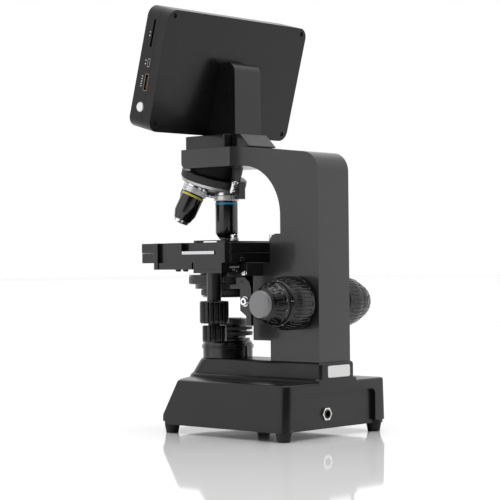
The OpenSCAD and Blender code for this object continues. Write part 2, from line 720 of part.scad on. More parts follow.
module slide_holder() color([0.14, 0.14, 0.15]) translate([0, 0, stage_top + gap])
    difference() {
        union() {
            translate([-46, -2, 0]) cube([96, 11, holder_h]);
            translate([-46, -52, 0]) cube([12, 51, holder_h]);
            translate([finger_x, 3, 0]) cylinder(r = 1.2, h = holder_h + 1.2);
        }
        translate([-38, -50, -1]) cube([5, 26.4, 5]);
        for (x = holder_x) translate([x, 3, -1]) cylinder(r = 1.25, h = 5);
    }

module slide_holder_screws() color([0.8, 0.8, 0.82])
    for (x = holder_x) translate([x, 3, stage_top + gap + holder_h]) {
        cylinder(r = 3.8, h = 6);
        translate([0, 0, -1]) cylinder(r = 1.2, h = 1.1);
    }

module slide_finger() color([0.75, 0.76, 0.78])
    translate([finger_x, 3, stage_top + gap + holder_h + 0.1]) difference() {
        union() {
            cylinder(r = 4, h = 0.8);
            translate([-1, -34, 0]) cube([4, 33, 0.8]);
            translate([-6, -37, -holder_h]) cube([9, 4, holder_h + 0.8]);
        }
        translate([0, 0, -2]) cylinder(r = 1.25, h = 4);
    }

// ---------- condenser ----------

// Two cheeks and a web on the slide, with a ring that grips the condenser.
module condenser_bracket() color([0.12, 0.12, 0.13]) difference() {
    union() {
        side_extrude(40) polygon([[-7.4, 141], [-7.4, 135.3], [-1.9, 130.3], [-1.9, 110.5],
                                  [5.4, 105.7], [5.4, 96.9], [11.7, 96.9], [11.7, 131.5],
                                  [9.6, 136.5], [4.1, 141]]);
        at_axis(130.4) cylinder(r = 30, h = 4);
        translate([-20, -30, 130.4]) cube([40, 34, 4]);
    }
    translate([-14, 7.1, 90]) cube([28, 10, 60]);
    at_axis(120) cylinder(r = 24.3, h = 20);
    at_axis(134.5) cylinder(r = iris_r + 0.3, h = 20);
}

module condenser_body() color([0.1, 0.1, 0.1]) at_axis() difference() {
    union() {
        translate([0, 0, 124]) cylinder(r = 24.2, h = 12);
        translate([0, 0, iris_z]) cylinder(r = iris_r, h = iris_h, $fn = 96);
        translate([0, 0, iris_z + iris_h]) cylinder(r1 = 26, r2 = 20, h = 8);
    }
    translate([0, 0, 123]) cylinder(r = 18, h = 13);
    translate([0, 0, 130]) cylinder(r = 13, h = 30);
    // slot that the iris lever swings in
    translate([0, 0, 127]) rotate([0, 0, 190]) rotate_extrude(angle = 70)
        translate([17, 0]) square([9, 2.6]);
}

module condenser_lens() color([0.7, 0.8, 0.85]) at_axis(iris_z + iris_h + 1) {
    cylinder(r = 12.9, h = 5);
    translate([0, 0, 5]) cylinder(r1 = 12.9, r2 = 9, h = 2.2);
}

module iris_lever() color([0.75, 0.76, 0.78]) at_axis(127.4) {
    tube(17.6, 13, 1.8);
    rotate([0, 0, -135]) translate([16, -1.6, 0]) cube([24, 3.2, 1.8]);
    rotate([0, 0, -135]) translate([39, 0, 0.9]) sphere(r = 2.6);
}

module condenser_knob() color([0.1, 0.1, 0.1]) translate([-20.4, 18, 110]) rotate([0, -90, 0]) {
    cylinder(r = 9, h = 14);
    translate([0, 0, -5]) cylinder(r = 2, h = 6);
}

// ---------- lamp ----------

module illuminator_housing() color([0.1, 0.1, 0.1]) at_axis(tier_top) rotate_extrude($fn = 72)
    polygon([[15.5, 0], [lamp_r, 0], [lamp_r, 12.6], [lamp_r - 0.6, 13.8], [20.9, 15.6],
             [20.9, 17.8], [14.4, 17.8], [14.4, 31], [11.5, 31], [11.5, 3], [15.5, 3]]);

module field_ring() color([0.1, 0.1, 0.1]) at_axis(tier_top + 18.3) difference() {
    union() {
        cylinder(r = 18, h = lamp_top - tier_top - 18.3);
        translate([0, 0, 1.7]) cylinder(r = 23.2, h = 3.6);
    }
    translate([0, 0, -1]) cylinder(r = 14.4 + run, h = 30);
}

module field_lens() color([0.75, 0.85, 0.9]) at_axis(tier_top + 24)
    cylinder(r = 11.45, h = 6.5);

base_housing();
base_bottom_plate();
rubber_feet();
base_screws();
arm();
head_adapter();
screen_bracket();
screen_back_shell();
screen_front_bezel();
screen_panel();
screen_board();
screen_screws();
screen_ports();
camera_module();
relay_lens();
nosepiece_mount();
nosepiece_pivot();
nosepiece_detent();
illuminator_housing();
field_lens();
led_module();
power_board();
power_socket();
power_socket_nut();
rating_plate();
focus_guide();
focus_bushings();
nosepiece_turret();
objective_4x();
objective_10x();
objective_40x();
objective_100x();
objective_40x_tip();
objective_100x_tip();
focus_carriage();
focus_rack();
stage_lower_plate();
focus_pinion();
coarse_knob_right();
coarse_knob_left();
fine_axle();
fine_knob_right();
fine_knob_left();
stage_upper_plate();
stage_side_rail();
stage_rack_strip();
stage_gearbox();
stage_knob_y();
stage_knob_x();
slide_holder();
slide_holder_screws();
slide_finger();
condenser_bracket();
condenser_body();
condenser_lens();
iris_lever();
condenser_knob();
field_ring();
screen_button();
brightness_dial();
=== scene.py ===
import math

import bmesh
import bpy
from mathutils import Matrix, Vector


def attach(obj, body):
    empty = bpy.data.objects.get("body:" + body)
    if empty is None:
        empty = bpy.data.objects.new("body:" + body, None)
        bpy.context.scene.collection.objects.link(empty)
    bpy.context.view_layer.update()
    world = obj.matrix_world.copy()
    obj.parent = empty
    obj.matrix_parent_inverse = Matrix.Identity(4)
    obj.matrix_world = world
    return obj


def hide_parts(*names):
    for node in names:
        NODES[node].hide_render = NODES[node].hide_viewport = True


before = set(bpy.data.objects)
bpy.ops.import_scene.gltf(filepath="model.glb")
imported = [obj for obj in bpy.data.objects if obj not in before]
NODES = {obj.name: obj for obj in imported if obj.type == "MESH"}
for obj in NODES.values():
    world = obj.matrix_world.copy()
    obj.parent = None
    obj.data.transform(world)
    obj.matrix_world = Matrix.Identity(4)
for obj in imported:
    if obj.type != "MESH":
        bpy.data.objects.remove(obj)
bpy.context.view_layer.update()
MM = 0.001
TAU = 2 * math.pi

# ---------------------------------------------------------------- camera

CAMERA_SPOT = (1.10544, 1.01861, 0.15305)
CAMERA_TURN = (90.49, 0.54, 132.8746)
CAMERA_LENS = 117.5

camera = bpy.data.objects.new("camera", bpy.data.cameras.new("camera"))
camera.data.sensor_width = 36
camera.data.lens = CAMERA_LENS
camera.data.clip_start = 0.05
camera.data.clip_end = 60
camera.location = CAMERA_SPOT
camera.rotation_euler = [math.radians(a) for a in CAMERA_TURN]
bpy.context.scene.collection.objects.link(camera)
bpy.context.scene.camera = camera

# ---------------------------------------------------------------- materials


def node(tree, kind, **values):
    n = tree.nodes.new(kind)
    for key, value in values.items():
        if key in n.inputs:
            n.inputs[key].default_value = value
        else:
            setattr(n, key, value)
    return n


def noise(tree, place, scale, detail=3.0, rough=0.55):
    n = node(tree, "ShaderNodeTexNoise")
    n.inputs["Scale"].default_value = scale
    n.inputs["Detail"].default_value = detail
    n.inputs["Roughness"].default_value = rough
    tree.links.new(place, n.inputs["Vector"])
    return n.outputs["Fac"]


def remap(tree, value, low, high, from_low=0.3, from_high=0.7):
    n = node(tree, "ShaderNodeMapRange")
    n.inputs["From Min"].default_value = from_low
    n.inputs["From Max"].default_value = from_high
    n.inputs["To Min"].default_value = low
    n.inputs["To Max"].default_value = high
    tree.links.new(value, n.inputs["Value"])
    return n.outputs["Result"]


FINE_SHARE = 0.45  # how much of a colour's variation is fine grain; the rest is patches


def finish(name, colour, rough=0.4, vary=0.12, rough_vary=0.06, grain=2600.0, depth=0.00002,
           strength=0.25, metallic=0.0, patch=24.0, coat=0.0, coat_rough=0.1, specular=0.5,
           stretch=None, transmission=0.0, ior=1.45):
    """A material with fine grain and slow changes of colour and gloss."""
    mat = bpy.data.materials.new(name)
    mat.use_nodes = True
    tree = mat.node_tree
    shader = tree.nodes["Principled BSDF"]
    shader.inputs["Metallic"].default_value = metallic
    shader.inputs["Specular IOR Level"].default_value = specular
    shader.inputs["IOR"].default_value = ior
    shader.inputs["Coat Weight"].default_value = coat
    shader.inputs["Coat Roughness"].default_value = coat_rough
    shader.inputs["Transmission Weight"].default_value = transmission
    place = node(tree, "ShaderNodeTexCoord").outputs["Object"]
    grain_place = place
    if stretch:
        squeeze = node(tree, "ShaderNodeMapping")
        squeeze.inputs["Scale"].default_value = stretch
        tree.links.new(place, squeeze.inputs["Vector"])
        grain_place = squeeze.outputs["Vector"]
    slow = noise(tree, place, patch)
    fine = noise(tree, grain_place, grain, 2.0, 0.6)
    blend = node(tree, "ShaderNodeMix", data_type="RGBA")
    dark = [c * (1 - vary) for c in colour]
    light = [min(1.0, c * (1 + vary)) for c in colour]
    blend.inputs["A"].default_value = (*dark, 1)
    blend.inputs["B"].default_value = (*light, 1)
    tint = node(tree, "ShaderNodeMath", operation="MULTIPLY_ADD")
    tint.inputs[1].default_value = FINE_SHARE
    tree.links.new(fine, tint.inputs[0])
    tree.links.new(remap(tree, slow, 0.0, 1 - FINE_SHARE), tint.inputs[2])
    tree.links.new(tint.outputs[0], blend.inputs["Factor"])
    tree.links.new(blend.outputs["Result"], shader.inputs["Base Color"])
    gloss = remap(tree, slow, rough - rough_vary, rough + rough_vary)
    tree.links.new(gloss, shader.inputs["Roughness"])
    bump = node(tree, "ShaderNodeBump")
    bump.inputs["Strength"].default_value = strength
    bump.inputs["Distance"].default_value = depth
    tree.links.new(fine, bump.inputs["Height"])
    tree.links.new(bump.outputs["Normal"], shader.inputs["Normal"])
    return mat


ENAMEL = finish("black_enamel", (0.0155, 0.0145, 0.0165), 0.33, coat=0.4, coat_rough=0.11,
                grain=3200, depth=0.00003, strength=0.22)
ENAMEL_BASE = finish("base_enamel", (0.0055, 0.0053, 0.0058), 0.35, coat=0.12, coat_rough=0.1,
                     specular=0.42, grain=3200, depth=0.00003, strength=0.25)
# Painted shade: a near-black, dull finish darker than the parts' own black. It is used on the
# nosepiece mount, which stands in shade under the arm, and on the screen's screws deep in their
# counterbores.
SHADE = finish("painted_shade_black", (0.003, 0.003, 0.0032), 0.5, specular=0.2, grain=2400, depth=0.00002)
# The stage's black enamel, made darker than the arm's as painted shade for the shade under and
# around the stage.
STAGE_ENAMEL_SHADED = finish("stage_enamel_painted_shade", (0.004, 0.004, 0.0043), 0.33, coat=0.3, coat_rough=0.14,
                      grain=3200, depth=0.00003, strength=0.3)
NECK = finish("neck_enamel", (0.005, 0.0048, 0.0053), 0.3, coat=0.4, coat_rough=0.07,
              specular=0.32, grain=3200, depth=0.00003, strength=0.22)
CASE = finish("screen_case", (0.004, 0.004, 0.0044), 0.3, coat=0.08, coat_rough=0.1,
              specular=0.36, grain=3600, depth=0.00002, strength=0.2)
PLASTIC = finish("moulded_black", (0.005, 0.005, 0.0054), 0.3, grain=2400, depth=0.00003,
                 strength=0.25)
KNOB = finish("knob_black", (0.003, 0.003, 0.0033), 0.17, grain=2600, depth=0.00003, strength=0.2)
GLOSS = finish("gloss_black", (0.004, 0.004, 0.0045), 0.13, rough_vary=0.03, grain=900,
               depth=0.000004, strength=0.1, coat=0.5)
LAMP = finish("lamp_black", (0.004, 0.004, 0.0043), 0.28, coat=0.4, coat_rough=0.12, grain=2600,
              depth=0.00003, strength=0.22)
RUBBER = finish("rubber", (0.012, 0.012, 0.012), 0.72, grain=1800, depth=0.00008, strength=0.4)
STEEL = finish("bright_steel", (0.62, 0.62, 0.64), 0.26, vary=0.06, metallic=1.0, grain=1400,
               depth=0.000006, stretch=(1, 1, 0.12))
CHROME = finish("chrome", (0.78, 0.78, 0.80), 0.12, vary=0.04, rough_vary=0.03, metallic=1.0,
                grain=700, depth=0.000003, strength=0.08)
NICKEL = finish("nickel", (0.66, 0.65, 0.63), 0.2, vary=0.05, metallic=1.0, grain=1200,
                depth=0.000005)
BLACK_OXIDE = finish("black_oxide", (0.03, 0.03, 0.032), 0.34, metallic=0.6, grain=1800,
                     depth=0.00001)
BRASS = finish("brass", (0.62, 0.44, 0.19), 0.28, vary=0.08, metallic=1.0, grain=1500,
               depth=0.000008, stretch=(1, 1, 0.15))
COPPER = finish("port_shell", (0.45, 0.30, 0.20), 0.3, vary=0.1, metallic=1.0, grain=1500,
                depth=0.00001)
BOARD = finish("circuit_board", (0.012, 0.10, 0.040), 0.4, vary=0.3, grain=500, depth=0.00001)
LABEL = finish("label_white", (0.82, 0.82, 0.81), 0.45, vary=0.03, grain=1500, depth=0.00001)
SCREEN = finish("screen_glass", (0.006, 0.007, 0.009), 0.08, rough_vary=0.02, grain=300,
                depth=0.000001, strength=0.03, coat=0.6, coat_rough=0.03)
LENS = finish("lens_glass", (0.85, 0.92, 0.95), 0.04, vary=0.02, rough_vary=0.01, grain=300,
              depth=0.000001, strength=0.02, transmission=0.9, ior=1.52)
LED = finish("led_board", (0.80, 0.79, 0.70), 0.5, grain=900, depth=0.00002)
PORT = finish("port_inside", (0.02, 0.018, 0.016), 0.4, metallic=0.4, grain=1500, depth=0.00001)
RING = finish("knurled_silver", (0.80, 0.80, 0.81), 0.34, vary=0.04, metallic=1.0, grain=1500,
              depth=0.000005)
BUTTON = finish("button_white", (0.86, 0.86, 0.86), 0.3, vary=0.03, metallic=0.1, grain=1500,
                depth=0.000006)
CAP = finish("cap_grey", (0.19, 0.19, 0.195), 0.3, metallic=0.9, grain=1600, depth=0.00001,
             coat=0.2)
WHITE_INK = finish("white_ink", (0.72, 0.72, 0.72), 0.5, vary=0.04, grain=2000, depth=0.000008)
BLUE = finish("ring_blue", (0.03, 0.30, 0.52), 0.2, grain=1800, depth=0.000006)
YELLOW = finish("ring_yellow", (0.60, 0.52, 0.08), 0.2, grain=1800, depth=0.000006)
RED = finish("ring_red", (0.45, 0.02, 0.02), 0.3, grain=1800, depth=0.000006)
WHITE = finish("ring_white", (0.80, 0.80, 0.80), 0.3, vary=0.04, grain=1800, depth=0.000006)
SATIN = finish("satin_silver", (0.50, 0.50, 0.51), 0.34, vary=0.05, metallic=0.9, grain=1800,
               depth=0.00001)

# ---------------------------------------------------------------- carried-over CAD nodes


BEVEL_SEGMENTS = 3
SHARP_ANGLE = 32.0  # degrees; edges of CAD nodes that are sharper than this show as edges


def paint(ob, mat):
    ob.data.materials.clear()
    ob.data.materials.append(mat)


def dress(name, mat, bevel):
    """Gives a CAD node its material, and rounds its edges by bevel millimetres."""
    ob = NODES[name]
    if "custom_normal" in ob.data.attributes:
        ob.data.attributes.remove(ob.data.attributes["custom_normal"])
    ob.data.polygons.foreach_set("use_smooth", [True] * len(ob.data.polygons))
    paint(ob, mat)
    weld = ob.modifiers.new("weld", "WELD")
    weld.merge_threshold = 2e-6
    if bevel:
        flat = ob.modifiers.new("flat", "DECIMATE")
        flat.decimate_type = "DISSOLVE"
        flat.angle_limit = math.radians(0.3)
        soft = ob.modifiers.new("soft", "BEVEL")
        soft.width = bevel * MM
        soft.segments = BEVEL_SEGMENTS
        soft.limit_method = "ANGLE"
        soft.angle_limit = math.radians(SHARP_ANGLE)
        soft.harden_normals = True
        soft.use_clamp_overlap = True
    else:
        mark_sharp_edges(ob)


def mark_sharp_edges(ob):
    """Marks the sharp edges of a mesh whose vertices may be split."""
    mesh = ob.data
    bm = bmesh.new()
    bm.from_mesh(mesh)
    bm.edges.ensure_lookup_table()
    key = {v.index: tuple(round(c * 1e6) for c in v.co) for v in bm.verts}
    by_place = {}
    for e in bm.edges:
        k = tuple(sorted((key[e.verts[0].index], key[e.verts[1].index])))
        by_place.setdefault(k, []).append(e.index)
    limit = math.cos(math.radians(SHARP_ANGLE))
    sharp = [False] * len(bm.edges)
    for group in by_place.values():
        faces = [f for i in group for f in bm.edges[i].link_faces]
        if len(faces) != 2 or faces[0].normal.dot(faces[1].normal) < limit:
            for i in group:
                sharp[i] = True
    bm.free()
    attribute = mesh.attributes.get("sharp_edge") or mesh.attributes.new(
        "sharp_edge", "BOOLEAN", "EDGE")
    attribute.data.foreach_set("value", sharp)


# Node: its material, and how far its edges are rounded, in millimetres.
CAD_LOOKS = {
    "base_housing": (ENAMEL_BASE, 0.0), "base_bottom_plate": (ENAMEL_BASE, 0.3),
    "rubber_feet": (RUBBER, 0.4), "base_screws": (STEEL, 0.0), "arm": (ENAMEL, 1.0),
    "head_adapter": (NECK, 0.9), "screen_bracket": (NECK, 1.3), "screen_back_shell": (CASE, 0.6),
    "screen_front_bezel": (CASE, 0.6), "screen_panel": (SCREEN, 0.2),
    # SHADE on screen_screws and nosepiece_mount is painted shade over their own black.
    "screen_board": (BOARD, 0.0), "screen_screws": (SHADE, 0.0), "screen_ports": (PORT, 0.0),
    "camera_module": (BOARD, 0.0), "relay_lens": (LENS, 0.0), "nosepiece_mount": (SHADE, 0.4),
    "nosepiece_pivot": (STEEL, 0.2), "nosepiece_detent": (PLASTIC, 0.4),
    "illuminator_housing": (LAMP, 0.3), "field_lens": (LENS, 0.3), "led_module": (LED, 0.0),
    "power_board": (BOARD, 0.0), "power_socket": (PLASTIC, 0.2),
    "power_socket_nut": (NICKEL, 0.2), "rating_plate": (LABEL, 0.1), "focus_guide": (STEEL, 0.2),
    "focus_bushings": (BRASS, 0.3), "nosepiece_turret": (PLASTIC, 0.3),
    "objective_4x": (GLOSS, 0.3), "objective_10x": (GLOSS, 0.3), "objective_40x": (GLOSS, 0.3),
    "objective_100x": (GLOSS, 0.3), "objective_40x_tip": (CHROME, 0.2),
    "objective_100x_tip": (CHROME, 0.2), "focus_carriage": (ENAMEL, 0.8),
    "focus_rack": (STEEL, 0.0), "stage_lower_plate": (STAGE_ENAMEL_SHADED, 0.6),
    "focus_pinion": (STEEL, 0.0), "coarse_knob_right": (KNOB, 0.4),
    "coarse_knob_left": (KNOB, 0.4), "fine_axle": (STEEL, 0.0), "fine_knob_right": (KNOB, 0.4),
    "fine_knob_left": (KNOB, 0.4), "stage_upper_plate": (STAGE_ENAMEL_SHADED, 0.8),
    "stage_side_rail": (STAGE_ENAMEL_SHADED, 0.6), "stage_rack_strip": (STEEL, 0.1),
    "stage_gearbox": (STAGE_ENAMEL_SHADED, 0.5), "stage_knob_y": (KNOB, 0.3),
    "stage_knob_x": (KNOB, 0.3), "slide_holder": (STAGE_ENAMEL_SHADED, 0.3),
    "slide_holder_screws": (CHROME, 0.3), "slide_finger": (STAGE_ENAMEL_SHADED, 0.2),
    "condenser_bracket": (ENAMEL, 0.5), "condenser_body": (LAMP, 0.4),
    "condenser_lens": (LENS, 0.2), "iris_lever": (STEEL, 0.1), "condenser_knob": (KNOB, 0.5),
    "field_ring": (LAMP, 0.3), "screen_button": (BUTTON, 0.4), "brightness_dial": (KNOB, 0.5),
}
for cad_name, (cad_material, cad_bevel) in CAD_LOOKS.items():
    dress(cad_name, cad_material, cad_bevel)

# ---------------------------------------------------------------- mesh building, in millimetres


def move(x, y, z):
    return Matrix.Translation((x, y, z))


def turn(degrees, axis):
    return Matrix.Rotation(math.radians(degrees), 4, axis)


NOSE_TILT = 18                    # between the turret's axis and the optical axis
NOSE_PITCH = 20                   # from the turret's axis to each objective
PARFOCAL = 44.4                   # from an objective's shoulder to its tip
FOCUS_Y, FOCUS_Z = 68.4, 118.2    # the focus shaft, which runs along X
ON_AXIS = move(0, -37, 0)         # on the optical axis, at the desk
ON_SCREEN = move(0, -45.13, 272.9) @ turn(-15.7, "X")  # in the screen's leaning plane
NOSEPIECE = move(0, -56.0211, 225.1803) @ turn(-NOSE_TILT, "X")


def on_port(k):
    """The turret's k-th port, with +Z up along the objective that hangs in it."""
    return NOSEPIECE @ turn(-90 * k, "Z") @ move(0, NOSE_PITCH, 0) @ turn(NOSE_TILT, "X")


def on_focus(x, side=1):
    """Along the focus shaft, outwards on one side of the arm."""
    return move(side * x, FOCUS_Y, FOCUS_Z) @ turn(90 * side, "Y")


def refine(profile, step):
    """The same profile with a point at least every step."""
    out = [profile[0]]
    for (r0, z0), (r1, z1) in zip(profile, profile[1:]):
        n = max(1, math.ceil(math.hypot(r1 - r0, z1 - z0) / step))
        out += [(r0 + (r1 - r0) * i / n, z0 + (z1 - z0) * i / n) for i in range(1, n + 1)]
    return out


def revolve(profile, n=64, shape=None, loop=False):
    """Surface of revolution about Z. shape(angle, r, z) is added to the radius."""
    verts, rows, faces = [], [], []
    for r, z in profile:
        if r == 0:
            rows.append([len(verts)] * n)
            verts.append((0, 0, z))
            continue
        rows.append(list(range(len(verts), len(verts) + n)))
        for j in range(n):
            a = TAU * j / n
            q = r + (shape(a, r, z) if shape else 0)
            verts.append((q * math.cos(a), q * math.sin(a), z))
    pairs = list(zip(rows, rows[1:])) + ([(rows[-1], rows[0])] if loop else [])
    for low, high in pairs:
        for j in range(n):
            k = (j + 1) % n
            face = []
            for i in (low[j], low[k], high[k], high[j]):
                if i not in face:
                    face.append(i)
            if len(face) > 2:
                faces.append(face)
    return verts, faces


def prism(outline, z0, z1, edge=0.0):
    """A straight prism on a convex outline, with its two rims chamfered by edge."""
    cx = sum(p[0] for p in outline) / len(outline)
    cy = sum(p[1] for p in outline) / len(outline)
    n = len(outline)

    def ring(z, inset):
        out = []
        for x, y in outline:
            d = math.hypot(x - cx, y - cy)
            f = max(0.0, (d - inset * 1.3) / d)
            out.append((cx + (x - cx) * f, cy + (y - cy) * f, z))
        return out

    rings = [ring(z0, edge), ring(z0 + edge, 0), ring(z1 - edge, 0), ring(z1, edge)] if edge else [
        ring(z0, 0), ring(z1, 0)]
    verts = [p for r in rings for p in r]
    faces = [list(range(n))[::-1], [(len(rings) - 1) * n + i for i in range(n)]]
    for k in range(len(rings) - 1):
        for i in range(n):
            j = (i + 1) % n
            faces.append([k * n + i, k * n + j, (k + 1) * n + j, (k + 1) * n + i])
    return verts, faces


CORNER_STEPS = 4


def rectangle(x0, y0, x1, y1, r=0.0):
    """Outline of a rectangle, with round corners if r is given."""
    if not r:
        return [(x0, y0), (x1, y0), (x1, y1), (x0, y1)]
    out = []
    for cx, cy, start in ((x1 - r, y0 + r, -90), (x1 - r, y1 - r, 0),
                          (x0 + r, y1 - r, 90), (x0 + r, y0 + r, 180)):
        for i in range(CORNER_STEPS + 1):
            a = math.radians(start + 90 * i / CORNER_STEPS)
            out.append((cx + r * math.cos(a), cy + r * math.sin(a)))
    return out


def box(x0, y0, z0, x1, y1, z1, edge=0.0):
    return prism(rectangle(x0, y0, x1, y1), z0, z1, edge)


def circle(r, n=24):
    return [(r * math.cos(TAU * i / n), r * math.sin(TAU * i / n)) for i in range(n)]


class Piece:
    """Collects shapes in millimetres and makes one object of them."""

    def __init__(self, name, *mats):
        self.name, self.mats = name, mats
        self.verts, self.faces, self.index = [], [], []

    def add(self, shape, at=None, mat=0):
        verts, faces = shape
        base = len(self.verts)
        at = at or Matrix.Identity(4)
        self.verts += [tuple(c * MM for c in at @ Vector(p)) for p in verts]
        self.faces += [[base + i for i in f] for f in faces]
        self.index += [mat] * len(faces)
        return self

    def make(self, body, slot, *nodes, sharp=35.0, bevel=0.0):
        mesh = bpy.data.meshes.new(self.name)
        mesh.from_pydata(self.verts, [], self.faces)
        mesh.polygons.foreach_set("material_index", self.index)
        for mat in self.mats:
            mesh.materials.append(mat)
        bm = bmesh.new()
        bm.from_mesh(mesh)
        bmesh.ops.recalc_face_normals(bm, faces=bm.faces)
        limit = math.radians(sharp)
        for e in bm.edges:
            e.smooth = len(e.link_faces) == 2 and e.calc_face_angle(0) < limit
        for f in bm.faces:
            f.smooth = True
        bm.to_mesh(mesh)
        bm.free()
        ob = bpy.data.objects.new(self.name, mesh)
        bpy.context.scene.collection.objects.link(ob)
        if bevel:
            soft = ob.modifiers.new("soft", "BEVEL")
            soft.width = bevel * MM
            soft.segments = 2
            soft.limit_method = "ANGLE"
            soft.angle_limit = math.radians(sharp)
            soft.harden_normals = True
        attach(ob, body)
        if nodes:
            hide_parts(*nodes)
        return ob


def ribs(count, depth, share=0.28, low=-1e9, high=1e9):
    """Radial shape of a knurl: count ribs with rounded grooves between them."""
    def shape(a, r, z):
        if not low <= z <= high:
            return 0.0
        u = (a * count / TAU) % 1.0
        d = min(u, 1 - u) / (share / 2)
        return 0.0 if d >= 1 else -depth * 0.5 * (1 + math.cos(math.pi * d))
    return shape


def serpentine(count, z0, z1, radius, width, depth):
    """Radial shape of a groove that weaves round a drum between z = z0 and z = z1."""
    pitch = TAU * radius / count / 2
    bend = pitch / 2

    def shape(a, r, z):
        u = (a * radius) % (2 * pitch)
        best = 1e9
        for line in (0.5 * pitch, 1.5 * pitch, -0.5 * pitch, 2.5 * pitch):
            dz = max(z0 + bend - z, z - z1 + bend, 0)
            best = min(best, math.hypot(u - line, dz))
        for centre, turn_z, up in ((pitch, z1 - bend, 1), (0, z0 + bend, -1),
                                   (2 * pitch, z0 + bend, -1)):
            if (z - turn_z) * up >= 0:
                best = min(best, abs(math.hypot(u - centre, z - turn_z) - bend))
        if best >= width * 1.5:
            return 0.0
        t = max(0.0, min(1.0, (best - width * 0.5) / width))
        return -depth * (1 - t * t * (3 - 2 * t))
    return shape


INK_DEPTH = 0.15
INK_LIFT = 0.06


def tick(frame_at, angle, radius, z, length, width, lean):
    """A painted mark along a drum, on its surface."""
    at = frame_at @ turn(angle, "Z") @ move(radius, 0, z) @ turn(lean, "Y")
    return box(-INK_DEPTH, -width / 2, -length / 2, INK_LIFT, width / 2, length / 2), at


def screw(piece, at, r, h, socket, mat=0, dark=1):
    """A round-headed socket screw; its head stands on z = 0. The dark hex on its socket's floor is
    painted shade.
    """
    floor_z = h * 0.45
    edge = 0.35
    piece.add(revolve([(0, floor_z), (socket, floor_z), (socket, h), (r - edge, h),
                       (r, h - edge), (r, 0), (0, 0)], 28), at, mat)
    # Painted shade: a thin hex of the dark material on the socket's floor, for the shade inside
    # the hex socket.
    piece.add(prism(circle(socket * 0.98, 6), h * 0.46, h * 0.5), at, dark)


# ---------------------------------------------------------------- focus knobs

COARSE_X, FINE_X = 22.1, 51.4  # where the drums begin, from the plane of symmetry
GROOVE_WIDTH, GROOVE_DEPTH, GROOVE_STEP = 0.42, 0.6, 0.42

for side, word in ((1, "right"), (-1, "left")):
    at = on_focus(COARSE_X, side)
    drum = [(4.0, 0), (21.0, 0), (22.3, 0.5), (23.3, 1.5), (23.8, 2.9), (23.8, 15), (23.4, 18.5),
            (22.2, 22.6), (21.2, 27.4), (20.9, 28.2), (20.2, 28.8), (19.4, 29), (18.6, 28.9),
            (18.3, 28.2), (4.0, 28.2)]
    coarse = Piece(f"coarse_drum_{word}", KNOB, WHITE_INK)
    groove = serpentine(20, 5.2, 25.6, 23.3, GROOVE_WIDTH, GROOVE_DEPTH)
    coarse.add(revolve(refine(drum, GROOVE_STEP), 440, groove, loop=True), at)
    for a in range(0, 360, 72):
        coarse.add(*tick(at, a + 25, 20.45, 28.5, 1.9, 0.4, lean=-50), mat=1)
    coarse.make("coarse", "knob_black", f"coarse_knob_{word}")

    at = on_focus(FINE_X, side)
    cone = [(2.0, 0), (18.4, 0), (19.1, 0.3), (19.4, 0.9), (19.2, 1.9), (18.9, 2.2), (18.75, 3.9),
            (18.1, 5.0), (17.4, 6.6), (16.6, 9.0), (15.3, 11.6), (14.6, 12.8), (13.9, 13.6)]
    if side > 0:
        cone += [(12.9, 14.5), (11.6, 15.0), (11.4, 15.2), (11.4, 15.8), (2.0, 15.8)]
    else:
        cone += [(13.0, 14.2), (12.0, 14.4), (10.5, 14.1), (2.0, 13.9)]
    fine = Piece(f"fine_drum_{word}", KNOB, WHITE_INK, CAP)
    groove = serpentine(14, 5.6, 12.9, 16.6, GROOVE_WIDTH, GROOVE_DEPTH)
    fine.add(revolve(refine(cone, GROOVE_STEP), 360, groove, loop=True), at)
    for i in range(12):
        length = 2.4 if i % 3 == 0 else 1.6
        fine.add(*tick(at, i * 30 + 8, 18.72, 3.3, length, 0.42, lean=-5), mat=1)
        fine.add(*tick(at, i * 30 + 13, 18.74, 3.5, 0.9, 0.35, lean=-5), mat=1)
    if side > 0:
        cap = [(2.0, 15.9), (11.7, 15.9), (12.1, 16.3), (12.1, 19.1), (11.9, 19.5), (11.5, 19.75),
               (11.0, 19.7), (9.0, 19.45), (5.0, 19.2), (0, 19.1)]
        fine.add(revolve(refine(cap, 0.5), 270, ribs(90, 0.22, 0.6, 16.3, 19.2)), at, 2)
    else:
        disc = [(2.0, 13.95), (10.3, 14.15), (10.1, 14.3), (5, 14.1), (0, 14.05)]
        fine.add(revolve(disc, 72), at, 2)
    fine.make("fine", "knob_black", f"fine_knob_{word}")

# ---------------------------------------------------------------- objectives


